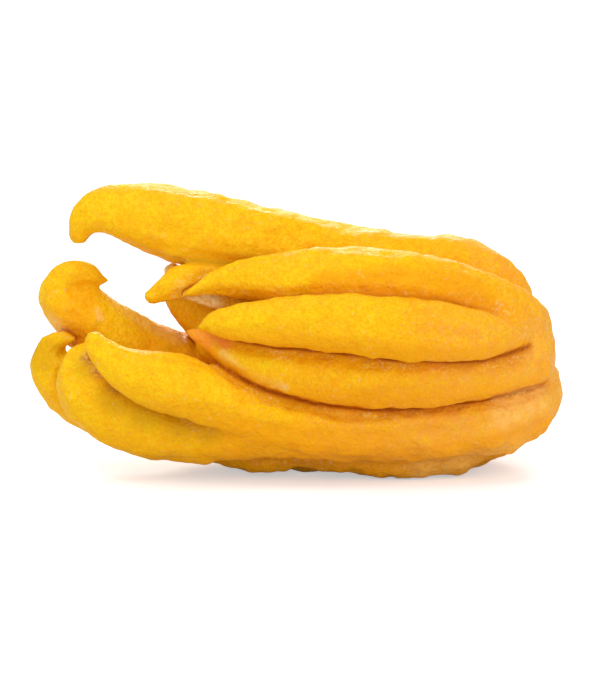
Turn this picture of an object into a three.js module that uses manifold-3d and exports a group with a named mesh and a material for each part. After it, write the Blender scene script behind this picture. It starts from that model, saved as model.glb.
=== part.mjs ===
// A Buddha's hand citron: one fruit that grew as a bunch of long fingers on a fused palm,
// lying on its side, with the short stalk that it was cut from the tree by.
// Millimetres, +Z up. The stem end faces +X and the fingers reach towards -X.
// The origin is under the middle of the fruit, on the surface that it lies on.

import * as THREE from 'three';
import { mergeVertices } from 'three/addons/utils/BufferGeometryUtils.js';
import Module from 'manifold-3d';

const wasm = await Module();
wasm.setup();

// Driving dimensions
const fruitLength = 200; // stem end to the furthest finger
const pathLength = 200; // the length that the finger paths below are drawn at
const fingerSides = 14; // facets around a finger
const palmSides = 24;
const ringsPerStretch = 2; // rings between two points of a path
const endRings = 2; // rings in each round end
const stalkLength = 8; // from the bed of the calyx to the cut
const stalkRadius = 2.6;
const cutChamfer = 0.5;
const calyxRadius = 6;
const calyxFoot = 0.7; // radius of the calyx where it meets the rind, and on top, as a part of calyxRadius
const calyxThickness = 2;
const neckHeight = 1.5; // where the calyx has narrowed to the stalk, in calyx thicknesses
const calyxLobes = 5;
const calyxLobeDepth = 0.16; // as a part of calyxRadius
const stemSides = 30; // facets around the stalk and the dimple
const seatGap = 0.3; // clearance between the stalk and the rind around it
const dimpleBed = 7; // radius of the flat bed that the calyx sits in
const dimpleBedHeight = 1; // above the foot of the calyx
const dimpleMouth = 12.5; // radius at the mouth
const dimpleDepth = 10; // from the bed to the mouth
const dimpleFlare = 1.5; // above 1, the wall leaves the bed gently and steepens
const dimpleSteps = 3;
const weldDistance = 1e-4; // vertices nearer than this are one vertex

// Where the stalk leaves the fruit, and how far it is turned from +X towards +Y
const stemPlace = new THREE.Vector3(89.5, 18, 40);
const stemTurn = THREE.MathUtils.degToRad(25);

// Each finger runs from the stem end to its tip: x, y, z of its middle line, then its radius
const fingers = {
  topHook: [
    [85, 15, 49, 8], [74.5, 10, 63.5, 15.2], [60, 8, 72.2, 16.4], [42, 6, 75.9, 13.6], [22, 6, 78.7, 13.4],
    [1, 6, 82.8, 13.8], [-35, 6, 91, 15], [-55, 5, 96.3, 13.1], [-69, 4, 98.7, 10.2], [-76, 4, 97.2, 7.9],
    [-80, 4, 94.2, 6], [-81.5, 4, 90.6, 4.3],
  ],
  frontUpper: [
    [87, 6, 46, 8], [82.2, -11, 56, 12.5], [71, -21, 63.8, 13.3], [47, -25.5, 72.4, 13.3],
    [19, -24, 75.3, 12.8], [1, -22, 76, 11], [-14, -19, 76.5, 8.6], [-27, -17, 75, 5.6],
    [-42.5, -16, 70, 1.3],
  ],
  frontMiddle: [
    [86, -19, 54.6, 3.2], [79.5, -27, 56.2, 6.2], [72, -33, 57.4, 8.8], [62, -37.5, 58.7, 10.6],
    [44, -41, 60.8, 11.7], [15, -41, 63, 10.6], [-3, -39, 63, 9.1], [-21, -36, 62.6, 6.8],
    [-30.5, -34, 61.8, 4.2], [-35, -33, 60.3, 1.3],
  ],
  frontLower: [
    [88, 6, 44, 8], [84.5, -10, 46, 12.6], [74, -22.5, 45.4, 12], [56, -30, 44.6, 12.6],
    [30, -32, 42.7, 13.2], [5, -31, 44, 12], [-16, -29, 47.6, 9.7], [-29, -26, 52.4, 6.2],
    [-39, -25, 57.2, 2.2],
  ],
  thumb: [
    [91.2, 8, 34, 8.6], [86.6, -5, 29.2, 12.7], [70, -17, 25.5, 14], [38, -22, 23, 14], [8, -24, 25, 13.5],
    [-16, -26.5, 29.5, 12.6], [-36, -30, 36.5, 11.2], [-54, -33.5, 41.4, 9.8], [-64, -34, 46, 7.9],
    [-70.5, -33.5, 51, 5.6], [-74, -33, 55.2, 3.7],
  ],
  lowerFront: [
    [84, 10, 32, 6], [74, -6, 25, 11.6], [60, -13, 22, 13], [38, -19, 21.5, 13.5], [10, -21, 22.5, 13.6],
    [-13, -21, 23.5, 14], [-34, -15.5, 21.5, 14.2], [-50, -13, 21.8, 14.2], [-63, -13, 25.3, 14.6],
    [-77, -13, 35, 13], [-80, -11, 43.6, 7.6], [-77, -8, 48.4, 3.6],
  ],
  farLeft: [
    [90, 16, 33, 8], [84.5, 6, 25, 11.4], [70, 0, 15.5, 12], [48, 2, 13, 12.5], [20, 2, 14.2, 13],
    [-14, 3, 14, 13.5], [-41, 6, 18, 13], [-64, 7, 23, 12.4], [-78, 6, 28, 12.3], [-88, 5, 35, 10.8],
    [-93.6, 5, 42, 7.4], [-92.6, 5, 47.6, 4.6], [-88, 5, 50.3, 3.1], [-84.2, 5, 49.6, 1.7],
  ],
  lowerBack: [
    [86, 24, 30, 8], [78, 24, 19, 12.5], [47, 24, 13.6, 13.3], [9, 24, 13.8, 13.5], [-18, 26, 17, 12],
    [-38, 29, 23, 9], [-49.5, 32, 31.5, 4],
  ],
  backCurl: [
    [85, 27, 34, 8], [79, 33, 26, 12.5], [48, 37, 23, 13.5], [9, 34, 27, 13.5], [-26, 28, 33, 13],
    [-52, 20, 40.6, 12], [-68.5, 17, 48.2, 11.6], [-81.8, 16, 57.8, 12], [-88, 16, 65.2, 10.4],
    [-87.2, 14.5, 71, 7.4], [-81.8, 12.5, 73.6, 5.5], [-77.4, 12, 73, 3.9], [-73.3, 12, 71.4, 1.7],
  ],
  backLower: [
    [84, 28, 38, 8], [77, 40, 36, 11], [50, 46, 36, 12], [12, 46, 39, 11], [-14, 43, 42, 9],
    [-32, 38, 45, 6], [-41, 34, 47.5, 2.5],
  ],
  backMiddle: [
    [84, 27, 43, 8], [78, 37, 50, 11.5], [50, 42, 55, 12.5], [12, 42, 58, 12], [-15, 40, 60, 10],
    [-30, 36, 63, 6], [-36, 32, 66, 2.5],
  ],
  backUpper: [
    [85, 22, 47, 8], [77, 26, 59, 13], [51, 28, 68, 13], [12, 27, 74, 12.5], [-22, 26, 82, 11],
    [-43, 25, 89.5, 8], [-52.5, 23, 92.5, 3],
  ],
  innerUpper: [
    [12, -2, 62, 11], [-14, -4, 69, 10], [-31, -6, 72, 9], [-42, -8, 73.5, 7.1], [-48.6, -9, 71, 4.8],
    [-53.6, -9, 68.6, 2.7],
  ],
  innerBack: [
    [12, 8, 45, 13], [-10, 10, 49, 13], [-28, 13, 55, 12.2], [-39, 16, 63, 10.4], [-45, 18, 70, 6.8],
    [-47.5, 18, 74.5, 3],
  ],
  underLobe: [
    [79, 8, 19, 9], [63, -4, 11.5, 10], [45, -10, 10, 10], [28, -11, 11.2, 10], [8, -9, 12.2, 9.6],
    [-16, -6, 12, 10], [-34, -2, 14, 9], [-46, 2, 16, 7],
  ],
};

// The fused palm that the fingers part from, tapering towards them
const palm = [
  [88, 17, 40, 6], [84, 15, 40, 17], [78, 13, 41, 25], [69, 10, 42, 31], [50, 7, 43, 35], [16, 6, 46, 32],
  [-8, 5, 48, 24], [-26, 6, 49, 12],
];

// The flesh in the crook of the curled finger
const curlFlesh = [[-87, 14, 63, 8], [-85, 13, 65, 7], [-82.5, 13, 65.5, 4]];

// The rings of a dome from its rim to its pole, at one end of a path
function domeRings(t, radius, direction) {
  const rings = [];
  for (let i = endRings; i >= 0; i--) {
    const angle = (i / (endRings + 1)) * (Math.PI / 2);
    rings.push({ t, beyond: direction * radius * Math.cos(angle), radius: radius * Math.sin(angle) });
  }
  return rings;
}

// A radius profile turned on a lathe, then bent so that its axis follows the path
function bentLathe(points, sides) {
  const path = new THREE.CatmullRomCurve3(points.map(([x, y, z]) => new THREE.Vector3(x, y, z)));
  const girth = new THREE.CatmullRomCurve3(points.map(([, , , radius]) => new THREE.Vector3(radius, 0, 0)));
  const steps = (points.length - 1) * ringsPerStretch;
  const stretch = Array.from({ length: steps + 1 }, (_, i) => (
    { t: i / steps, beyond: 0, radius: girth.getPoint(i / steps).x }));
  const rings = [
    ...domeRings(0, stretch[0].radius, -1).reverse(),
    ...stretch,
    ...domeRings(1, stretch[steps].radius, 1),
  ];

  // One frame a ring, carried along the path without twisting
  let side = new THREE.Vector3().crossVectors(path.getTangent(0), new THREE.Vector3(0, 0, 1)).normalize();
  const frames = rings.map(({ t, beyond }) => {
    const along = path.getTangent(t);
    side = side.clone().addScaledVector(along, -side.dot(along)).normalize();
    const up = new THREE.Vector3().crossVectors(side, along);
    return { centre: path.getPoint(t).addScaledVector(along, beyond), across: side, up };
  });

  const lathe = new THREE.LatheGeometry(rings.map(({ radius }, i) => new THREE.Vector2(radius, i)), sides);
  const position = lathe.attributes.position;
  const spot = new THREE.Vector3();
  for (let i = 0; i < position.count; i++) {
    const { centre, across, up } = frames[Math.round(position.getY(i))];
    spot.copy(centre).addScaledVector(across, position.getX(i)).addScaledVector(up, position.getZ(i));
    position.setXYZ(i, spot.x, spot.y, spot.z);
  }
  return lathe;
}

// A turned profile of [radius, height] points, laid along the stem's axis and put where the stalk leaves
function turnedAtStem(profile, sides, swell = () => 1) {
  const outline = profile.map(([radius, height]) => new THREE.Vector2(radius, height));
  const lathe = new THREE.LatheGeometry(outline, sides);
  const position = lathe.attributes.position;
  for (let i = 0; i < position.count; i++) {
    const x = position.getX(i);
    const z = position.getZ(i);
    const factor = swell(Math.hypot(x, z), Math.atan2(z, x));
    position.setX(i, x * factor);
    position.setZ(i, z * factor);
  }
  // The lathe's own axis is Y
  lathe.rotateZ(-Math.PI / 2 + stemTurn);
  lathe.translate(stemPlace.x, stemPlace.y, stemPlace.z);
  return lathe;
}

// The stalk on its lobed calyx, grown by a clearance where it is used to cut its own seat
function stalkShape(clearance) {
  const lobes = (reach, angle) => {
    const outward = THREE.MathUtils.smoothstep(reach, stalkRadius, calyxRadius);
    return 1 + calyxLobeDepth * outward * Math.cos(calyxLobes * angle);
  };
  const foot = calyxRadius * calyxFoot;
  const top = stalkLength + clearance;
  return turnedAtStem([
    [0, -clearance],
    [foot + clearance, -clearance],
    [calyxRadius + clearance, calyxThickness / 2],
    [foot + clearance, calyxThickness + clearance],
    [stalkRadius + clearance, calyxThickness * neckHeight + clearance],
    [stalkRadius + clearance, top - cutChamfer],
    [stalkRadius + clearance - cutChamfer, top],
    [0, top],
  ], stemSides, lobes);
}

// The hollow at the stem end that the finger roots leave around the calyx
function dimpleShape() {
  const wall = Array.from({ length: dimpleSteps + 1 }, (_, i) => {
    const rise = i / dimpleSteps;
    return [
      THREE.MathUtils.lerp(dimpleBed, dimpleMouth, rise),
      dimpleBedHeight + dimpleDepth * rise ** dimpleFlare,
    ];
  });
  return turnedAtStem([[0, dimpleBedHeight], ...wall, [0, dimpleBedHeight + dimpleDepth]], stemSides);
}

function toSolid(geometry) {
  const bare = geometry.clone();
  bare.deleteAttribute('normal');
  bare.deleteAttribute('uv');
  const merged = mergeVertices(bare, weldDistance);
  return new wasm.Manifold(new wasm.Mesh({
    numProp: 3,
    vertProperties: new Float32Array(merged.attributes.position.array),
    triVerts: new Uint32Array(merged.index.array),
  }));
}

function toGeometry(solid) {
  const mesh = solid.getMesh();
  const geometry = new THREE.BufferGeometry();
  geometry.setAttribute('position', new THREE.BufferAttribute(mesh.vertProperties, 3));
  geometry.setIndex(new THREE.BufferAttribute(mesh.triVerts, 1));
  geometry.computeVertexNormals();
  return geometry;
}

function namedMesh(name, geometry, material) {
  const mesh = new THREE.Mesh(geometry, material);
  mesh.name = name;
  return mesh;
}

let grown = toSolid(bentLathe(palm, palmSides));
for (const points of [...Object.values(fingers), curlFlesh]) {
  grown = grown.add(toSolid(bentLathe(points, fingerSides)));
}
grown = grown.subtract(toSolid(dimpleShape())).subtract(toSolid(stalkShape(seatGap)));

const rind = new THREE.MeshStandardMaterial({ color: 0xf4b40a, roughness: 0.5, metalness: 0 });
const bark = new THREE.MeshStandardMaterial({ color: 0x6f7a35, roughness: 0.8, metalness: 0 });

const fruit = new THREE.Group();
fruit.add(namedMesh('citron', toGeometry(grown), rind));
fruit.add(namedMesh('stalk', stalkShape(0), bark));
fruit.scale.setScalar(fruitLength / pathLength);

// The fruit lies on z = 0 with the middle of its length and width over the origin
fruit.updateMatrixWorld(true);
const lying = new THREE.Box3().setFromObject(fruit);
const middle = lying.getCenter(new THREE.Vector3());
fruit.position.set(-middle.x, -middle.y, -lying.min.z);

export default fruit;
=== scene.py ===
import math
import bmesh
import bpy
import numpy as np
from mathutils import Matrix, Vector, noise


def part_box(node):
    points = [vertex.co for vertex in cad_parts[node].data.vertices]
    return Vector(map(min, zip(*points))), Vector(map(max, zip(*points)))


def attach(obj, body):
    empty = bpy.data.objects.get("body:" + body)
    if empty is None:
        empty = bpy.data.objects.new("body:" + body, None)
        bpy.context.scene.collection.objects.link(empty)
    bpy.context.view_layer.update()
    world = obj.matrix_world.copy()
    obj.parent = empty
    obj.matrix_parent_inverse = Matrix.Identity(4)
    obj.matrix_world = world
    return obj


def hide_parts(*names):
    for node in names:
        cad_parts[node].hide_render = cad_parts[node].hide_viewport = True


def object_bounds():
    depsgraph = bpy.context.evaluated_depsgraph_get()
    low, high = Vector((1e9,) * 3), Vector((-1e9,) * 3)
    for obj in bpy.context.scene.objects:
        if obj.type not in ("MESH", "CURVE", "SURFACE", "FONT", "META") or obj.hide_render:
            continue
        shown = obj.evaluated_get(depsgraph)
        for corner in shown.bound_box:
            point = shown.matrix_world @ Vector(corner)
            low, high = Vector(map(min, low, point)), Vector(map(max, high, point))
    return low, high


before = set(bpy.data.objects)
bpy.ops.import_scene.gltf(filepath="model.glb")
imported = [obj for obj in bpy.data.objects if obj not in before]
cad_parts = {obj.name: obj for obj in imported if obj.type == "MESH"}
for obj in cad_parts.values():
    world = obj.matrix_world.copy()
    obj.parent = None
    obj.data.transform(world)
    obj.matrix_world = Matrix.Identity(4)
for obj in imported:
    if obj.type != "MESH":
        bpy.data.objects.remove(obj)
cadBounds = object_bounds()
mm = 0.001

# The fruit is seen from the front and a little above, from far enough for the fingers to look straight
camera = {
    "distance": 1.1,
    "elevation": 9.0,
    "lens": 154.6,
    "aimFromMiddle": (1.5 * mm, -2.7 * mm, -4.1 * mm),
    "clip": (0.05, 40.0),
}


def placeCamera():
    low, high = cadBounds
    aim = (low + high) / 2 + Vector(camera["aimFromMiddle"])
    tilt = math.radians(camera["elevation"])
    back = Vector((0, -math.cos(tilt), math.sin(tilt)))
    eye = bpy.data.objects.new("camera", bpy.data.cameras.new("camera"))
    eye.data.lens = camera["lens"]
    eye.data.clip_start, eye.data.clip_end = camera["clip"]
    eye.location = aim + back * camera["distance"]
    eye.rotation_mode = "QUATERNION"
    eye.rotation_quaternion = (-back).to_track_quat("-Z", "Y")
    bpy.context.scene.collection.objects.link(eye)
    bpy.context.scene.camera = eye


placeCamera()
print("camera placed")

# Suns: the direction each shines from, its strength, and how wide it looks from the fruit
studio = {
    "floorSize": 30.0,
    "floorColor": (0.82, 0.84, 0.87, 1),
    "floorRoughness": 0.9,
    "floorGlow": 0.46,  # seen by the camera only, so that the shadow stays pale
    "white": (1, 1, 1, 1),
    "skyLight": 0.60,
    "skySeen": 1.0,
    "suns": {
        "overhead": {"from": (-0.28, -0.24, 1.0), "strength": 1.05, "width": 40},
        "front": {"from": (0.32, -1.0, 0.42), "strength": 0.98, "width": 60},
        "behind": {"from": (0.05, 1.0, 0.55), "strength": 1.5, "width": 18},
    },
}


# A node with its settings, and its inputs set to values or linked to other nodes' outputs
def addNode(tree, kind, settings=None, inputs=None):
    node = tree.nodes.new("ShaderNode" + kind)
    for name, value in (settings or {}).items():
        setattr(node, name, value)
    for name, value in (inputs or {}).items():
        if isinstance(value, bpy.types.NodeSocket):
            tree.links.new(value, node.inputs[name])
        else:
            node.inputs[name].default_value = value
    return node


def buildStudio():
    bm = bmesh.new()
    bmesh.ops.create_grid(bm, x_segments=1, y_segments=1, size=studio["floorSize"] / 2)
    mesh = bpy.data.meshes.new("floor")
    bm.to_mesh(mesh)
    bm.free()
    floor = bpy.data.objects.new("floor", mesh)
    bpy.context.scene.collection.objects.link(floor)
    plain = bpy.data.materials.new("plainFloor")
    plain.use_nodes = True
    shader = plain.node_tree.nodes["Principled BSDF"]
    shader.inputs["Base Color"].default_value = studio["floorColor"]
    shader.inputs["Roughness"].default_value = studio["floorRoughness"]
    shader.inputs["Specular IOR Level"].default_value = 0.0
    shader.inputs["Emission Color"].default_value = studio["white"]
    glow = addNode(plain.node_tree, "MapRange", inputs={
        "Value": addNode(plain.node_tree, "LightPath").outputs["Is Camera Ray"],
        "To Max": studio["floorGlow"],
    })
    plain.node_tree.links.new(glow.outputs["Result"], shader.inputs["Emission Strength"])
    mesh.materials.append(plain)

    for name, facts in studio["suns"].items():
        sun = bpy.data.objects.new(name, bpy.data.lights.new(name, "SUN"))
        sun.data.energy = facts["strength"]
        sun.data.angle = math.radians(facts["width"])
        sun.rotation_mode = "QUATERNION"
        sun.rotation_quaternion = Vector(facts["from"]).to_track_quat("Z", "Y")
        bpy.context.scene.collection.objects.link(sun)

    # The sky looks as white as the floor, but lights the fruit more gently
    sky = bpy.data.worlds.new("paleSky")
    sky.use_nodes = True
    bpy.context.scene.world = sky
    tree = sky.node_tree
    path = addNode(tree, "LightPath")
    strength = addNode(tree, "MapRange", inputs={
        "Value": path.outputs["Is Camera Ray"],
        "To Min": studio["skyLight"],
        "To Max": studio["skySeen"],
    })
    background = tree.nodes["Background"]
    background.inputs["Color"].default_value = studio["white"]
    tree.links.new(strength.outputs["Result"], background.inputs["Strength"])
    bpy.context.scene.view_settings.view_transform = "Standard"


buildStudio()
print("floor and lights placed")

# Each finger runs from the stem end to its tip: x, y, z of its middle line and its radius, all in
# millimetres, as in the part's own drawing
fingers = {
    "topHook": [
        (85, 15, 49, 8), (74.5, 10, 63.5, 15.2), (60, 8, 72.2, 16.4), (42, 6, 75.9, 13.6),
        (22, 6, 78.7, 13.4), (1, 6, 82.8, 13.8), (-35, 6, 91, 15), (-55, 5, 96.3, 13.1),
        (-69, 4, 98.7, 10.2), (-76, 4, 97.2, 7.9), (-80, 4, 94.2, 6), (-81.5, 4, 90.6, 4.3),
    ],
    "frontUpper": [
        (87, 6, 46, 8), (82.2, -11, 56, 12.5), (71, -21, 63.8, 13.3), (47, -25.5, 72.4, 13.3),
        (19, -24, 75.3, 12.8), (1, -22, 76, 11), (-14, -19, 76.5, 8.6), (-27, -17, 75, 5.6),
        (-42.5, -16, 70, 1.3),
    ],
    "frontMiddle": [
        (86, -19, 54.6, 3.2), (79.5, -27, 56.2, 6.2), (72, -33, 57.4, 8.8), (62, -37.5, 58.7, 10.6),
        (44, -41, 60.8, 11.7), (15, -41, 63, 10.6), (-3, -39, 63, 9.1), (-21, -36, 62.6, 6.8),
        (-30.5, -34, 61.8, 4.2), (-35, -33, 60.3, 1.3),
    ],
    "frontLower": [
        (88, 6, 44, 8), (84.5, -10, 46, 12.6), (74, -22.5, 45.4, 12), (56, -30, 44.6, 12.6),
        (30, -32, 42.7, 13.2), (5, -31, 44, 12), (-16, -29, 47.9, 9.4), (-28.5, -26.3, 53.2, 5.5),
        (-39, -25.4, 57.4, 1.8),
    ],
    "thumb": [
        (91.2, 8, 34, 8.6), (86.6, -5, 29.2, 12.7), (70, -17, 25.5, 14), (38, -22, 23, 14),
        (8, -24, 25, 13.5), (-16, -26.5, 29.5, 12.6), (-36, -30, 36.5, 11.2), (-54, -33.5, 41.4, 9.8),
        (-64, -34, 46, 7.9), (-70.5, -33.5, 51, 5.6), (-74, -33, 55.2, 3.7),
    ],
    "lowerFront": [
        (84, 10, 32, 6), (74, -6, 25, 11.6), (60, -13, 22, 13), (38, -19, 21.5, 13.5),
        (10, -21, 22.5, 13.6), (-13, -21, 23.5, 14), (-34, -15.5, 21.5, 14.2), (-50, -13, 21.8, 14.2),
        (-63, -13, 25.3, 14.6), (-77, -13, 35, 13), (-80, -11, 43.6, 7.6), (-77, -8, 48.4, 3.6),
    ],
    "farLeft": [
        (90, 16, 33, 8), (84.5, 6, 25, 11.4), (70, 0, 15.5, 12), (48, 2, 13, 12.5), (20, 2, 14.2, 13),
        (-14, 3, 14, 13.5), (-41, 6, 18, 13), (-64, 7, 23, 12.4), (-78, 6, 28, 12.3), (-88, 5, 35, 10.8),
        (-93.6, 5, 42, 7.4), (-92.6, 5, 47.6, 4.6), (-88, 5, 50.3, 3.1), (-84.2, 5, 49.6, 1.7),
    ],
    "lowerBack": [
        (86, 24, 30, 8), (78, 24, 19, 12.5), (47, 24, 13.6, 13.3), (9, 24, 13.8, 13.5), (-18, 26, 17, 12),
        (-38, 29, 23, 9), (-49.5, 32, 31.5, 4),
    ],
    "backCurl": [
        (85, 27, 34, 8), (79, 33, 26, 12.5), (48, 37, 23, 13.5), (9, 34, 27, 13.5), (-26, 28, 33, 13),
        (-52, 20, 40.6, 12), (-68.5, 17, 48.2, 11.6), (-81.8, 16, 57.8, 12), (-88, 16, 65.2, 10.4),
        (-87.2, 14.5, 71, 7.4), (-81.8, 12.5, 73.6, 5.5), (-77.4, 12, 73, 3.9), (-73.3, 12, 71.4, 1.7),
    ],
    "backLower": [
        (84, 28, 38, 8), (77, 40, 36, 11), (50, 46, 36, 12), (12, 46, 39, 11), (-14, 43, 42, 9),
        (-32, 38, 45, 6), (-41, 34, 47.5, 2.5),
    ],
    "backMiddle": [
        (84, 27, 43, 8), (78, 37, 50, 11.5), (50, 42, 55, 12.5), (12, 42, 58, 12), (-15, 40, 60, 10),
        (-30, 36, 63, 6), (-36, 32, 66, 2.5),
    ],
    "backUpper": [
        (85, 22, 47, 8), (77, 26, 59, 13), (51, 28, 68, 13), (12, 27, 74, 12.5), (-22, 26, 82, 11),
        (-43, 25, 89.5, 8), (-52.5, 23, 92.5, 3),
    ],
    "innerUpper": [
        (12, -2, 62, 11), (-14, -4, 69, 10), (-31, -6, 72, 9), (-42, -8, 73.5, 7.1), (-48.6, -9, 71, 4.8),
        (-53.6, -9, 68.6, 2.7),
    ],
    "innerBack": [
        (12, 8, 45, 13), (-10, 10, 49, 13), (-28, 13, 55, 12.2), (-39, 16, 63, 10.4), (-45, 18, 70, 6.8),
        (-47.5, 18, 74.5, 3),
    ],
    "underLobe": [
        (79, 8, 19, 9), (63, -4, 11.5, 10), (45, -10, 10, 10), (28, -11, 11.2, 10), (8, -9, 12.2, 9.6),
        (-16, -6, 12, 10), (-34, -2, 14, 9), (-46, 2, 16, 7),
    ],
    # The fused palm that the fingers part from, and the flesh behind the curled tip
    "palm": [
        (88, 17, 40, 6), (84, 15, 40, 17), (78, 13, 41, 25), (69, 10, 42, 31), (50, 7, 43, 35),
        (16, 6, 46, 32), (-8, 5, 48, 24), (-26, 6, 49, 12),
    ],
    "curlFlesh": [(-87, 14, 63, 8), (-85, 13, 65, 7), (-82.5, 13, 65.5, 4)],
}

citron = {
    "flesh": ("palm", "curlFlesh"),  # these hold the fingers together, and no groove runs along them
    "sides": 32,
    "ringStep": 2.5 * mm,
    "thinnest": 0.4 * mm,
    "domeRings": 5,
    "squareness": 2.35,  # 2 is a round finger, more has flatter faces
    # Unevenness put in before the fingers are fused: its part of the radius, how often it turns round the
    # finger, and its length along the finger
    "swells": [(0.08, 0.8, 24 * mm), (0.07, 1.9, 70 * mm)],
    "swellShift": 7.3,  # how far apart two fingers lie in the noise, so that no two are alike
    "voxel": 1.12 * mm,
    # A narrow groove where two fingers meet, and the wider hollow where the inner one tucks under the outer
    "grooveDepth": 3.6 * mm,
    "grooveWidth": 2.6 * mm,
    "tuckDepth": 2.2 * mm,
    "tuckWidth": 5.5 * mm,
    "tuckCurve": 1.5,  # more makes the hollow steeper beside the groove
    "tuckStep": 4 * mm,
    "tuckHeight": 0.5,  # how much a finger that lies above another counts as outside it
    "fleshMargin": 4 * mm,
    "depthPasses": 3,
    "inwardPasses": 8,
    "cutSmoothing": (0.5 * mm, 2),  # where a cut is deeper than this it is smoothed, and how many times
    # Fingers whose middles are this close, as a part of their two radii, have grown into one
    "grownTogether": 0.5,
    "grownApart": 0.72,
    # Past each of these, towards the stem, the furrows are smoothed once more
    "fadeFrom": [76 * mm, 82 * mm, 87 * mm],
    "fadePasses": 4,
    # Lumps pushed out after they are fused: size and height of each kind
    "lumps": [(12 * mm, 0.8 * mm), (5.5 * mm, 0.6 * mm), (2.9 * mm, 0.2 * mm)],
    "lumpierBelow": 32 * mm,  # the lumps are twice as high at the bottom
    "lumpyFrom": 40 * mm,  # this starts so far from the middle towards the tips, and is full at the middle
    # Ridges along the fingers and wrinkles across them: height, size round the finger and along it
    "ridges": [(0.75 * mm, 4.5 * mm, 30 * mm), (0.3 * mm, 14 * mm, 3.2 * mm)],
    "ridgeShift": 3.7,
    "ridgeRadius": 12 * mm,  # the radius that the skin's grain is laid round
    "ridgesFade": 4 * mm,  # how near a groove they fade out
    # A shallow furrow along a finger: how far round it lies, its width, its depth and where it runs
    "furrows": {"frontMiddle": (math.radians(-175), 3.2 * mm, 0.9 * mm, 6 * mm, 66 * mm)},
    "furrowRadius": 10 * mm,
    "tipCalm": (0.5, 50 * mm),  # the roughness left at a tip, and how far from it the skin is fully rough
    # The underside is pressed towards this height, as a resting fruit's is, and this much of it is left
    "restingAt": 0.5 * mm,
    "restingLeft": 0.35,
    "creaseWidth": 5 * mm,
    "creasePasses": 2,
    # How far beside a groove the painted shade in a tucked hollow reaches
    "tuckedShadeWidth": 8.5 * mm,
    "facingPasses": 4,
    "grainShift": 0.1,
    "seat": Vector((89.5, 18, 40)) * mm,
    "seatTurn": 25.0,
    "dimpleFloor": 1 * mm,  # above the seat
    "dimpleBed": 7 * mm,
    "dimpleFlare": 1.1,
    "dimpleEase": 2.5 * mm,
    "dimpleReach": (12 * mm, 25 * mm),  # no point deeper or further aside is moved
    "dimpleSmoothing": (22 * mm, 3),
}

# Where the skin is marked, and where painted shade, painted glow and painted light are laid on: the middle of
# each mark, or its two ends, and how far it spreads, in millimetres
marks = {
    "salmon": [((-38, -27, 57.5), 5.5), ((-32, -29, 56), 5), ((-26, -31, 54.5), 4)],
    "pale": [
        ((-38, -12, 65), 6), ((-33, -14, 66), 6), ((-40, -4, 64), 5), ((-20, -27, 70), 3), ((-50, 16, 76), 4),
    ],
    # Pale patches in the rind, and partly painted highlight along the thumb's top edge and painted light on
    # the curled finger's shaded arm
    "paleAndHighlight": [
        ((-73, -31, 59), (-55, -29, 52), 3), ((-68, 14, 62), (-46, 14, 51), 5), ((-92, 10, 54), 6),
        ((-75.6, 5, 68), (-74.4, 5, 58), 1.6), ((-27, -33, 50.5), (-4, -39, 40), 2.2),
    ],
    "browned": [((-76, -19, 48), 4.5), ((-72, -23, 43.5), 4.5), ((-66, -26, 38.5), 4)],
    # Painted shade: on the lower front finger just below the thumb's edge, and on the far-left finger behind
    # it
    "paintedShade": [
        ((-76, -18, 42), 8), ((-66, -25, 34), 9), ((-55, -27, 29), 9), ((-43, -28, 25), 8),
        ((-32, -28, 22), 7), ((-95, 0, 45), 8),
    ],
    # Painted glow and painted shade in and beside the curled finger's hollow
    "paintedGlowAndShade": [((-84, 4, 60), 8), ((-81, 5, 66), 6), ((-58, 11, 44), 5), ((-48, 14, 40), 7)],
    # Painted shade on the lower side of the upper front finger, where it turns under
    "frontUpperShade": [((10, -36, 76), (34, -37, 77), 7), ((34, -37, 77), (66, -37, 75), 8)],
    # Painted light: paler straw where the top finger's underside lies in shade
    "paintedLight": [((-46, -5, 83), (-18, -8, 82), 5)],
    # A peach tone low on the stem end, laid on strongly enough to be partly painted light where that part
    # lies in shade
    "peachAndPaintedLight": [((50, -16, 6), (76, -20, 11), 10), ((76, -28, 28), (87, -19, 31), 7)],
    "stemGreen": [((92, 19, 40), 9)],
}


# A point of a smooth route, from the two points on each side of it; a fourth number is the radius
def between(before, start, end, after, t):
    pairs = ((before, start), (start, end), (end, after))
    first, span, last = [max((b.xyz - a.xyz).length ** 0.5, 1e-6) for a, b in pairs]
    leave = (start - before) / first - (end - before) / (first + span) + (end - start) / span
    arrive = (end - start) / span - (after - start) / (span + last) + (after - end) / last
    leave *= span
    arrive *= span
    bend = -3 * start + 3 * end - 2 * leave - arrive
    close = 2 * start - 2 * end + leave + arrive
    return start + leave * t + bend * t * t + close * t * t * t


def smoothRoute(points, step):
    knots = [Vector(p) * mm for p in points]
    knots = [2 * knots[0] - knots[1]] + knots + [2 * knots[-1] - knots[-2]]
    route = []
    for i in range(1, len(knots) - 2):
        span = (knots[i + 1].xyz - knots[i].xyz).length
        count = max(2, round(span / step))
        route += [between(*knots[i - 1:i + 3], k / count) for k in range(count)]
    route.append(knots[-2])
    return route


# Where each ring of a finger stands: its middle, its three directions, its radius and how far along it is
def ringStations(points):
    route = smoothRoute(points, citron["ringStep"])
    across = None
    stations = []
    travelled = 0.0
    for i, spot in enumerate(route):
        ahead = route[min(i + 1, len(route) - 1)].xyz
        behind = route[max(i - 1, 0)].xyz
        along = (ahead - behind).normalized()
        if across is None:
            across = along.cross(Vector((0, 0, 1))).normalized()
        across = (across - along * across.dot(along)).normalized()
        if i:
            travelled += (spot.xyz - route[i - 1].xyz).length
        stations.append({
            "middle": spot.xyz, "across": across, "up": across.cross(along), "along": along,
            "radius": max(spot.w, citron["thinnest"]), "travelled": travelled,
        })
    return stations


def ringMatrix(station, beyond=0.0, shrink=1.0):
    size = station["radius"] * shrink
    columns = [station["across"] * size, station["up"] * size, station["along"] * size]
    matrix = Matrix(columns).transposed().to_4x4()
    matrix.translation = station["middle"] + station["along"] * beyond
    return matrix


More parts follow.
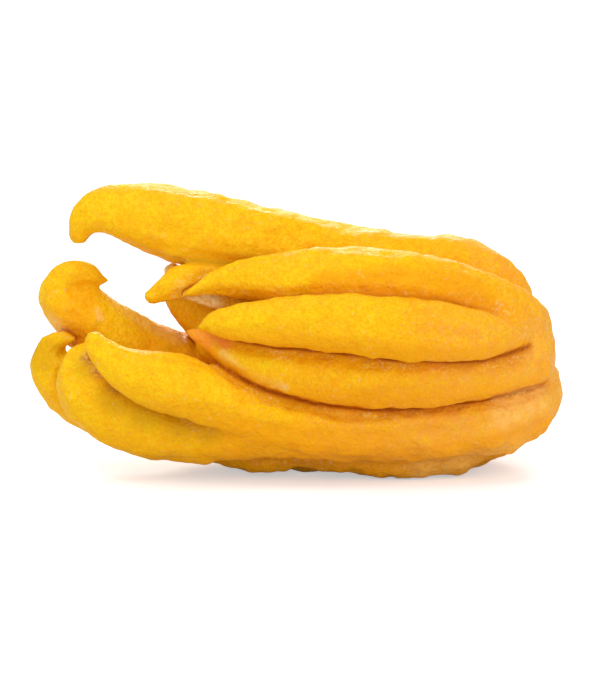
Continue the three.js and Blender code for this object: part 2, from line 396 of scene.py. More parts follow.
# A circle carried through a row of places by extruding its edge, and closed at both ends
def carryRing(bm, places, sides):
    ring = bmesh.ops.create_circle(bm, cap_ends=True, segments=sides, radius=1.0, matrix=places[0])["verts"]
    rim = list(ring[0].link_faces[0].edges)
    rings = [ring]
    for before, place in zip(places, places[1:]):
        grown = bmesh.ops.extrude_edge_only(bm, edges=rim)["geom"]
        ring = [part for part in grown if isinstance(part, bmesh.types.BMVert)]
        rim = [part for part in grown if isinstance(part, bmesh.types.BMEdge)]
        bmesh.ops.transform(bm, matrix=place @ before.inverted(), verts=ring)
        rings.append(ring)
    end = bmesh.ops.edgeloop_fill(bm, edges=rim)["faces"]
    return rings, end


# One finger: the ring carried along the route, with a dome at each end
def growFinger(stations, seed):
    bm = bmesh.new()
    domes = [math.pi / 2 * (i + 1) / (citron["domeRings"] + 1) for i in range(citron["domeRings"])]
    first, last = stations[0], stations[-1]
    places = []
    for a in reversed(domes):
        places.append((first, ringMatrix(first, -first["radius"] * math.sin(a), math.cos(a))))
    for station in stations:
        places.append((station, ringMatrix(station)))
    for a in domes:
        places.append((last, ringMatrix(last, last["radius"] * math.sin(a), math.cos(a))))
    rings, _ = carryRing(bm, [place for _, place in places], citron["sides"])
    made = [(station, ring) for (station, _), ring in zip(places, rings)]
    # Flatter faces, gentle swellings and long facets, so that no finger is a plain tube
    power = citron["squareness"]
    for station, ring in made:
        for v in ring:
            spoke = v.co - station["middle"]
            if spoke.length < 1e-6:
                continue
            way = spoke.normalized()
            shares = [abs(way.dot(station[name])) for name in ("across", "up", "along")]
            size = sum(share ** power for share in shares) ** (-1 / power)
            for depth, turns, length in citron["swells"]:
                shift = Vector((seed * citron["swellShift"], 0, station["travelled"] / length))
                size += depth * noise.noise(way * turns + shift)
            v.co = station["middle"] + spoke * size
    bmesh.ops.recalc_face_normals(bm, faces=bm.faces)
    finger = bpy.data.meshes.new("finger")
    bm.to_mesh(finger)
    bm.free()
    return finger


def largestIsland(bm):
    islands = []
    unseen = set(bm.verts)
    while unseen:
        island = set()
        front = {unseen.pop()}
        while front:
            island |= front
            front = {edge.other_vert(v) for v in front for edge in v.link_edges} - island
        unseen -= island
        islands.append(island)
    return max(islands, key=len), len(islands)


# One clean skin round whatever the bmesh holds, without the pockets that it closes in
def remeshed(bm):
    mesh = bpy.data.meshes.new("rough")
    bm.to_mesh(mesh)
    bm.free()
    rough = bpy.data.objects.new("rough", mesh)
    bpy.context.scene.collection.objects.link(rough)
    fuse = rough.modifiers.new("fuse", "REMESH")
    fuse.mode = "VOXEL"
    fuse.voxel_size = citron["voxel"]
    bpy.context.view_layer.update()
    skin = bpy.data.meshes.new_from_object(rough.evaluated_get(bpy.context.evaluated_depsgraph_get()))
    bpy.data.objects.remove(rough)
    bm = bmesh.new()
    bm.from_mesh(skin)
    bpy.data.meshes.remove(skin)
    bpy.data.meshes.remove(mesh)
    outside, count = largestIsland(bm)
    bmesh.ops.delete(bm, geom=[v for v in bm.verts if v not in outside], context="VERTS")
    bm.verts.index_update()
    bm.normal_update()
    print("remeshed:", len(bm.verts), "points,", count - 1, "closed pockets left out")
    return bm


def fuseFingers(grownFrom):
    bm = bmesh.new()
    for seed, stations in enumerate(grownFrom.values()):
        finger = growFinger(stations, seed)
        bm.from_mesh(finger)
        bpy.data.meshes.remove(finger)
    return remeshed(bm)


# For each point: how far along its finger it lies, its place round the finger, and how near a groove
def readFingers(points, grownFrom):
    depths, alongs, angles, lengths, reaches, beside, widths = [], [], [], [], [], [], []
    core = np.array([station["middle"] for station in grownFrom["palm"]])
    for stations in grownFrom.values():
        middles, acrosses, ups, forwards = [
            np.array([station[name] for station in stations]) for name in ("middle", "across", "up", "along")]
        radii = np.array([station["radius"] for station in stations])
        travelled = np.array([station["travelled"] for station in stations])
        squares = (points ** 2).sum(axis=1)[:, None] + (middles ** 2).sum(axis=1)[None]
        squares -= 2 * points @ middles.T
        apart = np.sqrt(np.maximum(squares, 0)) - radii
        nearest = apart.argmin(axis=1)
        spoke = points - middles[nearest]
        depths.append(apart.min(axis=1))
        alongs.append(travelled[nearest] + (spoke * forwards[nearest]).sum(axis=1))
        angles.append(np.arctan2((spoke * ups[nearest]).sum(axis=1), (spoke * acrosses[nearest]).sum(axis=1)))
        lengths.append(travelled[-1] + radii[-1])
        reach = np.sqrt(((middles[:, None] - core[None]) ** 2).sum(axis=2)).min(axis=1)
        reaches.append(reach[nearest])
        beside.append(middles[nearest])
        widths.append(radii[nearest])
    depths = np.array(depths)
    rows = np.arange(len(points))
    isFlesh = np.array([name in citron["flesh"] for name in grownFrom])
    ofFinger = np.where(isFlesh[:, None], 1.0, depths)
    order = ofFinger.argsort(axis=0)
    owner, other = order[0], order[1]
    gap = ofFinger[other, rows] - ofFinger[owner, rows]
    toFlesh = depths[isFlesh].min(axis=0) - ofFinger[owner, rows]
    along = np.array(alongs)[owner, rows]
    reaches, beside, widths = np.array(reaches), np.array(beside), np.array(widths)
    further = reaches[other, rows] - reaches[owner, rows]
    above = beside[other, rows, 2] - beside[owner, rows, 2]
    middlesApart = np.linalg.norm(beside[owner, rows] - beside[other, rows], axis=1)
    share = middlesApart / (widths[owner, rows] + widths[other, rows])
    parted = (share - citron["grownTogether"]) / (citron["grownApart"] - citron["grownTogether"])
    return {
        "owner": owner,
        "gap": gap,
        "under": np.clip((further + citron["tuckHeight"] * above) / citron["tuckStep"], 0, 1),
        "parted": np.clip(toFlesh / citron["fleshMargin"], 0, 1) * np.clip(parted, 0, 1),
        "along": along,
        "toTip": np.array(lengths)[owner] - along,
        "angle": np.array(angles)[owner, rows],
    }


def smoothed(bm, verts, passes):
    for _ in range(passes):
        bmesh.ops.smooth_vert(bm, verts=verts, factor=0.5, use_axis_x=True, use_axis_y=True, use_axis_z=True)


# The way that the stalk points
def seatAxis():
    turn = math.radians(citron["seatTurn"])
    return Vector((math.cos(turn), math.sin(turn), 0))


# The hollow that the stalk stands in, pressed along the stem's own axis, with a round rim
def pressDimple(bm):
    axis = seatAxis()
    ease = citron["dimpleEase"]
    deepest, widest = citron["dimpleReach"]
    for v in bm.verts:
        fromSeat = v.co - citron["seat"]
        height = fromSeat.dot(axis)
        reach = (fromSeat - axis * height).length
        if height < -deepest or reach > widest:
            continue
        wall = citron["dimpleFlare"] * max(0.0, reach - citron["dimpleBed"])
        over = height - citron["dimpleFloor"] - wall
        if over > ease:
            v.co -= axis * over
        elif over > -ease:
            v.co -= axis * (over + ease) ** 2 / (4 * ease)
    near, passes = citron["dimpleSmoothing"]
    smoothed(bm, [v for v in bm.verts if (v.co - citron["seat"]).length < near], passes)


# Evens a value out between neighbouring points
def evened(bm, values, passes):
    ends = np.array([[v.index for v in edge.verts] for edge in bm.edges])
    count = np.bincount(ends.ravel(), minlength=len(values))
    for _ in range(passes):
        total = np.bincount(ends[:, 0], values[ends[:, 1]], len(values))
        total += np.bincount(ends[:, 1], values[ends[:, 0]], len(values))
        values = (values + total / count) / 2
    return values


# Each groove cut deeper between the fingers, and the inner finger tucked under the outer one
def cutGrooves(bm, grownFrom):
    read = readFingers(np.array([v.co for v in bm.verts]), grownFrom)
    narrow = np.clip(1 - read["gap"] / citron["grooveWidth"], 0, 1)
    wide = np.clip(1 - read["gap"] / citron["tuckWidth"], 0, 1) * read["under"]
    hollow = citron["tuckDepth"] * wide ** citron["tuckCurve"]
    depths = (citron["grooveDepth"] * narrow + hollow) * read["parted"]
    depths = evened(bm, depths, citron["depthPasses"])
    normals = np.array([v.normal for v in bm.verts])
    inwards = np.stack([evened(bm, normals[:, i], citron["inwardPasses"]) for i in range(3)], axis=1)
    inwards /= np.linalg.norm(inwards, axis=1)[:, None]
    for v, inward, depth in zip(bm.verts, inwards, depths):
        v.co -= Vector(inward) * depth
    least, passes = citron["cutSmoothing"]
    smoothed(bm, [v for v, depth in zip(bm.verts, depths) if depth > least], passes)


# Lumps over everything, ridges along the fingers and wrinkles across them
def roughenSkin(bm, read):
    calm, full = citron["tipCalm"]
    furrows = {list(fingers).index(name): facts for name, facts in citron["furrows"].items()}
    for i, v in enumerate(bm.verts):
        apartness = min(1.0, read["gap"][i] / citron["ridgesFade"])
        angle = read["angle"][i]
        around = Vector((math.cos(angle), math.sin(angle), 0)) * citron["ridgeRadius"]
        forward = Vector((0, 0, read["along"][i]))
        offset = Vector((read["owner"][i] * citron["ridgeShift"], 0, 0))
        lowDown = max(0.0, 1 - v.co.z / citron["lumpierBelow"])
        lowDown *= min(1.0, max(0.0, v.co.x / citron["lumpyFrom"] + 1))
        lift = sum(height * noise.noise(v.co / size) for size, height in citron["lumps"]) * (1 + lowDown)
        for height, size, length in citron["ridges"]:
            lift += apartness * height * noise.noise(around / size + forward / length + offset)
        if read["owner"][i] in furrows:
            place, width, depth, start, end = furrows[read["owner"][i]]
            aside = math.remainder(angle - place, 2 * math.pi) * citron["furrowRadius"] / width
            forwards = (read["along"][i] - start) / (end - start)
            if 0 < forwards < 1:
                lift -= depth * math.exp(-aside * aside) * math.sin(math.pi * forwards)
        share = min(1.0, read["toTip"][i] / full)
        v.co += v.normal * lift * (calm + (1 - calm) * share)
    for v in bm.verts:
        if v.co.z < citron["restingAt"]:
            v.co.z = citron["restingAt"] + (v.co.z - citron["restingAt"]) * citron["restingLeft"]


def addAttribute(mesh, name, values, kind="FLOAT"):
    attribute = mesh.attributes.new(name, kind, "POINT")
    attribute.data.foreach_set("value" if kind == "FLOAT" else "vector", np.ravel(values))


# How strongly each point is marked by a spot, or by a stroke between two ends
def markedAt(points, *place):
    *ends, size = place
    start, end = np.array(ends[0]) * mm, np.array(ends[-1]) * mm
    span = end - start
    share = np.clip((points - start) @ span / max(span @ span, 1e-9), 0, 1)
    nearest = start + share[:, None] * span
    return np.exp(-((points - nearest) ** 2).sum(axis=1) / (size * mm) ** 2)


def citronMesh():
    grownFrom = {name: ringStations(points) for name, points in fingers.items()}
    bm = fuseFingers(grownFrom)
    cutGrooves(bm, grownFrom)
    bm = remeshed(bm)
    smoothed(bm, bm.verts, 1)
    for reach in citron["fadeFrom"]:
        smoothed(bm, [v for v in bm.verts if v.co.x > reach], citron["fadePasses"])
    pressDimple(bm)
    print("fused and smoothed")

    spots = np.array([v.co for v in bm.verts])
    read = readFingers(spots, grownFrom)
    bm.normal_update()
    facesDown = evened(bm, np.array([-v.normal.z for v in bm.verts]), citron["facingPasses"])
    # The groove mask carries the painted shade in the creases, and the pale chafing beside them
    groove = np.clip(1 - read["gap"] / citron["creaseWidth"], 0, 1) * read["parted"]
    groove = evened(bm, groove, citron["creasePasses"])
    roughenSkin(bm, read)
    mesh = bpy.data.meshes.new("citron")
    bm.to_mesh(mesh)
    bm.free()
    for face in mesh.polygons:
        face.use_smooth = True

    addAttribute(mesh, "toTip", read["toTip"])
    addAttribute(mesh, "groove", groove)
    # Painted shade in the hollows where an inner finger tucks under an outer one
    tuckedShade = np.clip(1 - read["gap"] / citron["tuckedShadeWidth"], 0, 1) * read["under"] * read["parted"]
    addAttribute(mesh, "tuckedShade", tuckedShade)
    addAttribute(mesh, "facesDown", facesDown)
    addAttribute(mesh, "towardsStem", spots[:, 0])
    around = [turn(read["angle"]) * citron["ridgeRadius"] for turn in (np.cos, np.sin)]
    grain = np.stack([around[0] + read["owner"] * citron["grainShift"], around[1], read["along"]], axis=1)
    addAttribute(mesh, "grain", grain, "FLOAT_VECTOR")
    for kind, places in marks.items():
        addAttribute(mesh, kind, np.max([markedAt(spots, *place) for place in places], axis=0))
    print("rind carved:", len(mesh.polygons), "faces")
    return mesh


def makeCitron():
    mesh = citronMesh()
    low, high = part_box("citron")
    spots = np.array([v.co for v in mesh.vertices])
    place = (low + high) / 2 - Vector((spots.min(axis=0) + spots.max(axis=0)) / 2)
    place.z = low.z - spots[:, 2].min()
    mesh.transform(Matrix.Translation(place))
    fruit = bpy.data.objects.new("citronFruit", mesh)
    bpy.context.scene.collection.objects.link(fruit)
    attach(fruit, "root")
    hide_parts("citron")
    return fruit, place


fruit, drawnToRow = makeCitron()
print("moved from the drawing by", [round(c / mm, 2) for c in drawnToRow], "mm")


# The short stalk on its calyx: from the foot to the cut, the height above the seat, the radius and how
# much the sepals stand out, in millimetres
stalk = {
    "sides": 50,
    "sepals": 5,
    "profile": [
        (0.5, 3.6, 0.0), (0.5, 5.3, 0.4), (0.9, 5.9, 0.9), (1.5, 6.0, 1.0), (2.0, 5.6, 0.95),
        (2.25, 4.9, 0.7), (2.4, 4.0, 0.4), (2.75, 3.3, 0.12), (3.4, 2.85, 0.0), (4.4, 2.6, 0.0),
        (5.6, 2.5, 0.0), (6.7, 2.6, 0.0), (7.5, 2.75, 0.0), (7.85, 2.65, 0.0),
    ],
    "sepalRoundness": 0.6,
    "sepalReach": 0.9 * mm,
    "sepalCurl": 0.45 * mm,
    "ridges": (0.16 * mm, 1.3 * mm, 9 * mm),  # height, width and length
    "cutRims": (0.35 * mm, 1.05 * mm),
    "cutSunk": 0.2 * mm,
    "grainStretch": 0.25,
}


def stalkMesh():
    bm = bmesh.new()
    profile = [(height * mm, radius * mm, share) for height, radius, share in stalk["profile"]]
    places = [Matrix.LocRotScale((0, 0, height), None, (radius, radius, 1)) for height, radius, _ in profile]
    rings, cut = carryRing(bm, places, stalk["sides"])
    depth, width, length = stalk["ridges"]
    for (_, radius, share), ring in zip(profile, rings):
        for v in ring:
            outward = Vector((v.co.x, v.co.y, 0)).normalized()
            lobe = abs(math.cos(math.atan2(v.co.y, v.co.x) * stalk["sepals"] / 2)) ** stalk["sepalRoundness"]
            v.co += outward * stalk["sepalReach"] * share * (lobe - 0.5) * 2
            v.co.z += stalk["sepalCurl"] * share * (lobe - 0.5)
            v.co += outward * depth * noise.noise(outward * radius / width + Vector((0, 0, v.co.z / length)))
    outerRim, innerRim = stalk["cutRims"]
    bmesh.ops.inset_region(bm, faces=cut, thickness=outerRim, use_even_offset=True)
    for v in {v for face in cut for v in face.verts}:
        v.co.z -= stalk["cutSunk"]
    bmesh.ops.inset_region(bm, faces=cut, thickness=innerRim, use_even_offset=True)
    bmesh.ops.recalc_face_normals(bm, faces=bm.faces)
    wood = {v for face in cut for v in face.verts}

    local = np.array([v.co for v in bm.verts])
    isCut = np.array([float(v in wood) for v in bm.verts])
    turned = seatAxis().to_track_quat("Z", "Y").to_matrix().to_4x4()
    place = Matrix.Translation(citron["seat"] + drawnToRow) @ turned
    bmesh.ops.transform(bm, matrix=place, verts=bm.verts)
    mesh = bpy.data.meshes.new("stalk")
    bm.to_mesh(mesh)
    bm.free()
    for face in mesh.polygons:
        face.use_smooth = True
    reach = np.hypot(local[:, 0], local[:, 1])
    addAttribute(mesh, "reach", reach)
    addAttribute(mesh, "standing", local[:, 2])
    addAttribute(mesh, "cutWood", isCut)
    addAttribute(mesh, "grain", local * np.array([1, 1, stalk["grainStretch"]]), "FLOAT_VECTOR")
    return mesh


def makeStalk():
    piece = bpy.data.objects.new("citronStalk", stalkMesh())
    bpy.context.scene.collection.objects.link(piece)
    rounding = piece.modifiers.new("rounding", "SUBSURF")
    rounding.levels = rounding.render_levels = 1
    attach(piece, "root")
    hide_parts("stalk")
    return piece


stem = makeStalk()
print("stalk grown")


patchRoughness = 0.55


# A soft mask of patches: noise of one size, cut between a low and a high level
def makePatchGroup():
    group = bpy.data.node_groups.new("patches", "ShaderNodeTree")
    group.interface.new_socket("Vector", in_out="INPUT", socket_type="NodeSocketVector")
    for name in ("Scale", "Detail", "Low", "High"):
        group.interface.new_socket(name, in_out="INPUT", socket_type="NodeSocketFloat")
    group.interface.new_socket("Mask", in_out="OUTPUT", socket_type="NodeSocketFloat")
    given = group.nodes.new("NodeGroupInput")
    out = group.nodes.new("NodeGroupOutput")
    grain = addNode(group, "TexNoise", inputs={
        "Vector": given.outputs["Vector"], "Scale": given.outputs["Scale"], "Detail": given.outputs["Detail"],
        "Roughness": patchRoughness,
    })
    cut = addNode(group, "MapRange", {"interpolation_type": "SMOOTHSTEP"}, {
        "Value": grain.outputs["Fac"], "From Min": given.outputs["Low"], "From Max": given.outputs["High"],
    })
    group.links.new(cut.outputs["Result"], out.inputs["Mask"])
    return group


patchGroup = makePatchGroup()


def patches(tree, vector, size, low, high, detail=2.0):
    node = addNode(tree, "Group", {"node_tree": patchGroup}, {
        "Vector": vector, "Scale": 1 / size, "Detail": detail, "Low": low, "High": high,
    })
    return node.outputs["Mask"]


def attribute(tree, name, output="Fac"):
    return addNode(tree, "Attribute", {"attribute_name": name}).outputs[output]


def remap(tree, value, fromMin, fromMax, toMin=0.0, toMax=1.0):
    node = addNode(tree, "MapRange", {"interpolation_type": "SMOOTHSTEP"}, {
        "Value": value, "From Min": fromMin, "From Max": fromMax, "To Min": toMin, "To Max": toMax,
    })
    return node.outputs["Result"]


def maths(tree, operation, *values):
    return addNode(tree, "Math", {"operation": operation}, dict(enumerate(values))).outputs["Value"]


def times(tree, first, second):
    return maths(tree, "MULTIPLY", first, second)


# One colour over another: the Mix node's colour sockets are found by their numbers
def layered(tree, under, over, mask):
    node = addNode(tree, "Mix", {"data_type": "RGBA", "clamp_factor": True}, {0: mask, 6: under, 7: over})
    return node.outputs[2]


def startMaterial(name):
    material = bpy.data.materials.new(name)
    material.use_nodes = True
    tree = material.node_tree
    return material, tree, tree.nodes["Principled BSDF"]


# The colours of the rind and how they are laid on. A patch is its size, where its noise is cut, and its
# detail where that isn't 2. A range is where it starts and ends, and what it gives at each end where that
# isn't 0 and 1.
rind = {
    "ripeness": [
        (0.0, (0.930, 0.610, 0.006, 1)), (0.42, (0.940, 0.580, 0.004, 1)), (0.55, (0.940, 0.505, 0.003, 1)),
        (0.70, (0.940, 0.435, 0.003, 1)), (0.85, (0.940, 0.420, 0.024, 1)), (1.0, (0.950, 0.445, 0.075, 1)),
    ],
    "ripensOver": (-95 * mm, 88 * mm),
    "ripensAt": 45 * mm,  # the height that this holds for
    "lowerIsRiper": -0.9,  # for each length up the fruit, how far back along it the same colour lies
    "wander": 32 * mm,
    "drift": (0.3, 0.7, -16 * mm, 16 * mm),
    "lemon": (0.930, 0.610, 0.008, 1),
    "lemonTips": (0.0, 30 * mm, 0.5, 0.0),
    "deepOrange": (0.90, 0.350, 0.003, 1),
    # Along the finger or not, size, where the noise is cut, detail, colour and strength
    "mottles": [
        (False, 15 * mm, 0.40, 0.66, 2.0, "deepOrange", 0.32),
        (True, 6 * mm, 0.44, 0.70, 2.0, "peach", 0.40),
        (False, 4 * mm, 0.42, 0.68, 2.0, "deepOrange", 0.38),
        (True, 2.4 * mm, 0.42, 0.72, 2.0, "straw", 0.36),
        (False, 1.5 * mm, 0.42, 0.70, 1.0, "deepOrange", 0.38),
        (False, 1.1 * mm, 0.46, 0.74, 1.0, "straw", 0.50),
        (False, 0.8 * mm, 0.44, 0.70, 1.0, "deepOrange", 0.40),
    ],
    # The patch, its colour and its strength
    "blushes": [((7 * mm, 0.46, 0.62), "rose", 0.42), ((2.4 * mm, 0.44, 0.66), "blush", 0.55)],
    "blushOver": (0.55, 1.0),
    "rose": (0.93, 0.320, 0.030, 1),
    "blush": (0.93, 0.400, 0.070, 1),
    "straw": (0.960, 0.625, 0.012, 1),
    "peach": (0.965, 0.480, 0.020, 1),
    # Painted shade: a deeper orange on the sides that face the ground, and umber on the lowest parts
    "facingDown": (-0.15, 0.5),
    "undersideOver": (-75 * mm, -10 * mm, 0.4, 1.0),
    "undersideShade": 0.65,
    "umber": (0.62, 0.315, 0.003, 1),
    "lowest": (13 * mm, 3 * mm, 0.0, 0.40),
    # Painted glow and painted shade inside the curled finger
    "glow": (0.90, 0.330, 0.003, 1),
    "paintedGlowAndShade": 0.70,
    # Painted shade in the grooves, and in the hollows where an inner finger tucks under an outer one
    "tuckedShadeAmber": (0.74, 0.220, 0.001, 1),
    "tuckedShade": (0.0, 0.8),
    "tuckedShadeOver": (64 * mm, 88 * mm, 0.45, 0.2),
    "grooveBrown": (0.55, 0.120, 0.001, 1),
    "grooveShading": (0.30, 0.85, 0.0, 0.92),
    "creaseDark": (0.20, 0.040, 0.001, 1),
    "creaseShading": (0.60, 0.95, 0.0, 0.85),
    "creaseShadingOver": (80 * mm, 96 * mm, 1.0, 0.1),
    # Pale chafing beside the grooves and low down
    "chafed": (0.88, 0.550, 0.230, 1),
    "chafedBeside": [(0.0, 0.2), (0.45, 0.70, 1.0, 0.0)],
    "chafedBelow": (20 * mm, 4 * mm, 0.0, 0.4),
    "chafedAreas": (9 * mm, 0.42, 0.60),
    "chafedGrain": (1.1 * mm, 0.50, 0.70, 3.0),
    "chafing": 0.60,
    # Marks, some of them painted shade and painted light: the kind, its colour, its strength and whether it
    # is broken up
    "marked": [
        ("frontUpperShade", "burntOrange", 0.55, False), ("paintedLight", "straw", 0.60, False),
        ("peachAndPaintedLight", "paleOrange", 0.60, True), ("salmon", "salmon", 0.80, True),
        ("pale", "paleFlesh", 0.80, True), ("paleAndHighlight", "paleFlesh", 0.24, True),
        ("stemGreen", "leafGreen", 0.60, False), ("paintedShade", "umber", 0.55, False),
    ],
    "markEdge": (0.15, 0.8),
    "broken": (1.6 * mm, 0.34, 0.60, 4.0),
    "unbroken": 0.35,  # how much of a broken mark is left between its flakes
    "burntOrange": (0.82, 0.300, 0.002, 1),
    "paleOrange": (1.0, 0.560, 0.130, 1),
    "salmon": (0.93, 0.270, 0.040, 1),
    "paleFlesh": (1.0, 0.820, 0.400, 1),
    "leafGreen": (0.42, 0.400, 0.040, 1),
    "scabEdge": (0.15, 0.7),
    "scabBrown": (0.42, 0.150, 0.030, 1),
    "scabs": 0.8,
    "scuffBeige": (0.86, 0.540, 0.210, 1),
    "driedGrain": (1.2 * mm, 0.50, 0.66),
    "dried": 0.5,
    # Specks: the patch, the larger areas that hold them, along the finger or not, the colour and the strength
    "specks": [
        ((1.2 * mm, 0.66, 0.73, 1.0), (14 * mm, 0.52, 0.66), False, "speckBrown", 0.40),
        ((1.4 * mm, 0.62, 0.72), (10 * mm, 0.42, 0.60), True, "scuffBeige", 0.45),
    ],
    "speckBrown": (0.40, 0.200, 0.060, 1),
    # The skin's surface
    "waxy": (6 * mm, 0.3, 0.7),
    "roughness": (0.40, 0.58),
    "gloss": 0.06,
    "poreSize": 1.3 * mm,
    "pimpleSize": 2.8 * mm,
    "pimpleDetail": 4.0,
    "poreShare": 0.22,
    "bumpDepth": 1.2 * mm,
    "bumpStrength": 0.8,
}


# Lemon at the tips, through gold to apricot at the stem end, and mottled all over
def ripeColour(tree, spot, grain, height, towardsStem):
    wander = addNode(tree, "TexNoise", inputs={"Vector": spot, "Scale": 1 / rind["wander"], "Detail": 2.0})
    place = maths(tree, "ADD", towardsStem, remap(tree, wander.outputs["Fac"], *rind["drift"]))
    level = maths(tree, "MULTIPLY_ADD", height, rind["lowerIsRiper"], place)
    start, end = [x + rind["lowerIsRiper"] * rind["ripensAt"] for x in rind["ripensOver"]]
    share = addNode(tree, "MapRange", inputs={"Value": level, "From Min": start, "From Max": end})
    ramp = addNode(tree, "ValToRGB", inputs={"Fac": share.outputs["Result"]})
    stops = ramp.color_ramp.elements
    stops.remove(stops[-1])
    stops[0].position, stops[0].color = rind["ripeness"][0]
    for position, shade in rind["ripeness"][1:]:
        stops.new(position).color = shade
    tips = remap(tree, attribute(tree, "toTip"), *rind["lemonTips"])
    colour = layered(tree, ramp.outputs["Color"], rind["lemon"], tips)

    # In patches from a thumb's width down to a grain
    for along, size, low, high, detail, name, strength in rind["mottles"]:
        mask = patches(tree, grain if along else spot, size, low, high, detail)
        colour = layered(tree, colour, rind[name], times(tree, mask, strength))

    # The stem half has a rosy blush
    stemHalf = remap(tree, share.outputs["Result"], *rind["blushOver"])
    for patch, name, strength in rind["blushes"]:
        blushed = times(tree, patches(tree, spot, *patch), stemHalf)
        colour = layered(tree, colour, rind[name], times(tree, blushed, strength))
    return colour


# Painted shade: grooves are painted browner and darkest at their bottoms, fading towards the stem, and the
# hollows where an inner finger tucks under an outer one are painted amber; pale chafing lies beside the
# grooves and low down
def creasedColour(tree, colour, spot, grain, height, towardsStem):
    groove = attribute(tree, "groove")
    tuckedShade = remap(tree, attribute(tree, "tuckedShade"), *rind["tuckedShade"])
    tuckedShade = times(tree, tuckedShade, remap(tree, towardsStem, *rind["tuckedShadeOver"]))
    colour = layered(tree, colour, rind["tuckedShadeAmber"], tuckedShade)
    colour = layered(tree, colour, rind["grooveBrown"], remap(tree, groove, *rind["grooveShading"]))
    fading = remap(tree, towardsStem, *rind["creaseShadingOver"])
    deepest = times(tree, remap(tree, groove, *rind["creaseShading"]), fading)
    colour = layered(tree, colour, rind["creaseDark"], deepest)
    nearGroove, pastGroove = [remap(tree, groove, *reach) for reach in rind["chafedBeside"]]
    low = remap(tree, height, *rind["chafedBelow"])
    worn = maths(tree, "MAXIMUM", times(tree, nearGroove, pastGroove), low)
    worn = times(tree, worn, patches(tree, grain, *rind["chafedAreas"]))
    worn = times(tree, worn, patches(tree, spot, *rind["chafedGrain"]))
    return layered(tree, colour, rind["chafed"], times(tree, worn, rind["chafing"]))


# The marked places, some of them painted shade and painted light, the dry scab beside the front finger's tip,
# and specks
def markedColour(tree, colour, spot, grain):
    broken = patches(tree, grain, *rind["broken"])
    flaky = remap(tree, broken, 0.0, 1.0, rind["unbroken"], 1.0)
    for kind, name, strength, isBroken in rind["marked"]:
        mask = remap(tree, attribute(tree, kind), *rind["markEdge"])
        if isBroken:
            mask = times(tree, mask, flaky)
        colour = layered(tree, colour, rind[name], times(tree, mask, strength))
    browned = remap(tree, attribute(tree, "browned"), *rind["scabEdge"])
    scab = times(tree, times(tree, browned, broken), rind["scabs"])
    colour = layered(tree, colour, rind["scabBrown"], scab)
    dried = times(tree, browned, patches(tree, spot, *rind["driedGrain"]))
    colour = layered(tree, colour, rind["scuffBeige"], times(tree, dried, rind["dried"]))
    for patch, area, along, name, strength in rind["specks"]:
        speck = times(tree, patches(tree, spot, *patch), patches(tree, grain if along else spot, *area))
        colour = layered(tree, colour, rind[name], times(tree, speck, strength))
    return colour


def rindColour(tree, spot, grain):
    height = addNode(tree, "SeparateXYZ", inputs={"Vector": spot}).outputs["Z"]
    towardsStem = attribute(tree, "towardsStem")
    colour = ripeColour(tree, spot, grain, height, towardsStem)

    # Painted shade: the sides that face the ground are painted a deeper orange, and the lowest parts a darker
    # umber
    below = remap(tree, attribute(tree, "facesDown"), *rind["facingDown"])
    below = times(tree, below, remap(tree, towardsStem, *rind["undersideOver"]))
    colour = layered(tree, colour, rind["deepOrange"], times(tree, below, rind["undersideShade"]))
    colour = layered(tree, colour, rind["umber"], remap(tree, height, *rind["lowest"]))

    # Painted glow and painted shade: the inner side of the curled finger, thin and hollow, is painted a
    # deeper orange
    colour = layered(tree, colour, rind["glow"], times(tree, attribute(tree, "paintedGlowAndShade"), rind["paintedGlowAndShade"]))
    colour = creasedColour(tree, colour, spot, grain, height, towardsStem)
    return markedColour(tree, colour, spot, grain)


def rindMaterial():
    material, tree, shader = startMaterial("rind")
    spot = addNode(tree, "TexCoord").outputs["Object"]
    grain = attribute(tree, "grain", "Vector")
    tree.links.new(rindColour(tree, spot, grain), shader.inputs["Base Color"])

    # Oil glands: shallow pits of a millimetre or two, with a pimply grain between them
    glands = addNode(tree, "TexVoronoi", {"feature": "F1"}, {"Vector": spot, "Scale": 1 / rind["poreSize"]})
    pimples = addNode(tree, "TexNoise", inputs={
        "Vector": spot, "Scale": 1 / rind["pimpleSize"], "Detail": rind["pimpleDetail"],
    })
    pores = maths(tree, "MULTIPLY_ADD", glands.outputs["Distance"], rind["poreShare"], pimples.outputs["Fac"])
    bump = addNode(tree, "Bump", inputs={
        "Height": pores, "Distance": rind["bumpDepth"], "Strength": rind["bumpStrength"],
    })
    tree.links.new(bump.outputs["Normal"], shader.inputs["Normal"])
    waxy = patches(tree, spot, *rind["waxy"])
    tree.links.new(remap(tree, waxy, 0.0, 1.0, *rind["roughness"]), shader.inputs["Roughness"])
    shader.inputs["Specular IOR Level"].default_value = rind["gloss"]
    return material


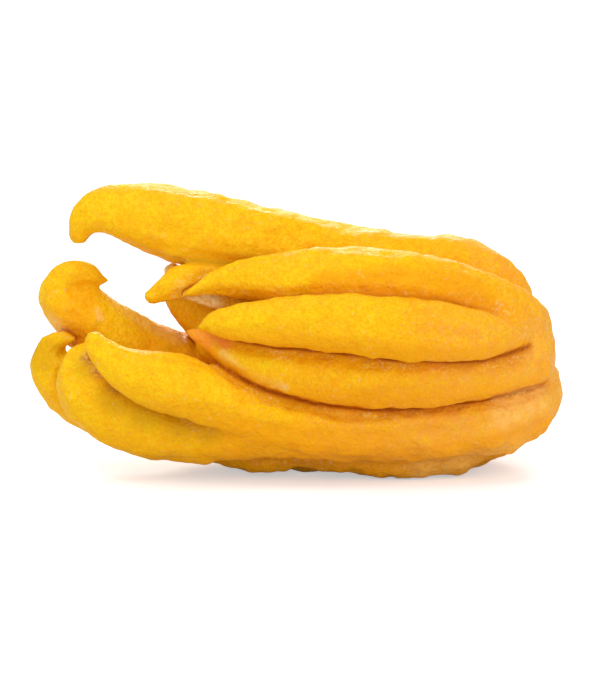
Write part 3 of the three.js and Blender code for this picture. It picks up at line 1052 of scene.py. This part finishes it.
# The colours of the stalk, its calyx and its cut, with the patches that they lie in
bark = {
    "green": (0.115, 0.130, 0.030, 1),
    "brown": (0.150, 0.080, 0.028, 1),
    "streaks": (0.9 * mm, 0.38, 0.62, 3.0),
    "grey": (0.33, 0.29, 0.19, 1),
    "greyAreas": (1.6 * mm, 0.55, 0.68),
    "greying": 0.6,
    "calyxGreen": (0.230, 0.240, 0.035, 1),
    "greening": 0.8,
    "dryEdge": (0.30, 0.170, 0.060, 1),
    "dryAreas": (1.2 * mm, 0.3, 0.6),
    "calyxTop": (2.2 * mm, 3.2 * mm, 1.0, 0.0),  # where the calyx ends and the bark begins
    "calyxEdge": (4.6 * mm, 6.4 * mm),
    "wood": (0.62, 0.430, 0.200, 1),
    "woodDark": (0.36, 0.200, 0.080, 1),
    "rings": 0.7 * mm,
    "ringAreas": (1 * mm, 0.3, 0.7),
    "ringing": 0.6,
    "fibre": 0.6 * mm,
    "fibreDetail": 3.0,
    "bumpDepth": 0.5 * mm,
    "bumpStrength": 0.8,
    "roughness": (0.6, 0.85),
    "gloss": 0.3,
}


def stalkMaterial():
    material, tree, shader = startMaterial("stalkBark")
    spot = addNode(tree, "TexCoord").outputs["Object"]
    grain = attribute(tree, "grain", "Vector")
    streaks = patches(tree, grain, *bark["streaks"])
    colour = layered(tree, bark["green"], bark["brown"], streaks)
    grey = times(tree, patches(tree, grain, *bark["greyAreas"]), bark["greying"])
    colour = layered(tree, colour, bark["grey"], grey)

    # The calyx is greener, and dry at the edges of its sepals
    isCalyx = remap(tree, attribute(tree, "standing"), *bark["calyxTop"])
    colour = layered(tree, colour, bark["calyxGreen"], times(tree, isCalyx, bark["greening"]))
    dry = times(tree, remap(tree, attribute(tree, "reach"), *bark["calyxEdge"]), isCalyx)
    dry = times(tree, dry, patches(tree, spot, *bark["dryAreas"]))
    colour = layered(tree, colour, bark["dryEdge"], dry)

    # Rings in the cut wood
    around = maths(tree, "SINE", times(tree, attribute(tree, "reach"), 2 * math.pi / bark["rings"]))
    ringed = times(tree, remap(tree, around, -1.0, 1.0), patches(tree, spot, *bark["ringAreas"]))
    wood = layered(tree, bark["wood"], bark["woodDark"], times(tree, ringed, bark["ringing"]))
    colour = layered(tree, colour, wood, attribute(tree, "cutWood"))
    tree.links.new(colour, shader.inputs["Base Color"])

    fibre = addNode(tree, "TexNoise", inputs={
        "Vector": grain, "Scale": 1 / bark["fibre"], "Detail": bark["fibreDetail"],
    })
    bump = addNode(tree, "Bump", inputs={
        "Height": fibre.outputs["Fac"], "Distance": bark["bumpDepth"], "Strength": bark["bumpStrength"],
    })
    tree.links.new(bump.outputs["Normal"], shader.inputs["Normal"])
    tree.links.new(remap(tree, streaks, 0.0, 1.0, *bark["roughness"]), shader.inputs["Roughness"])
    shader.inputs["Specular IOR Level"].default_value = bark["gloss"]
    return material


fruit.data.materials.append(rindMaterial())
stem.data.materials.append(stalkMaterial())
print("rind and stalk painted")

print("cad", [[round(c, 4) for c in corner] for corner in cadBounds])
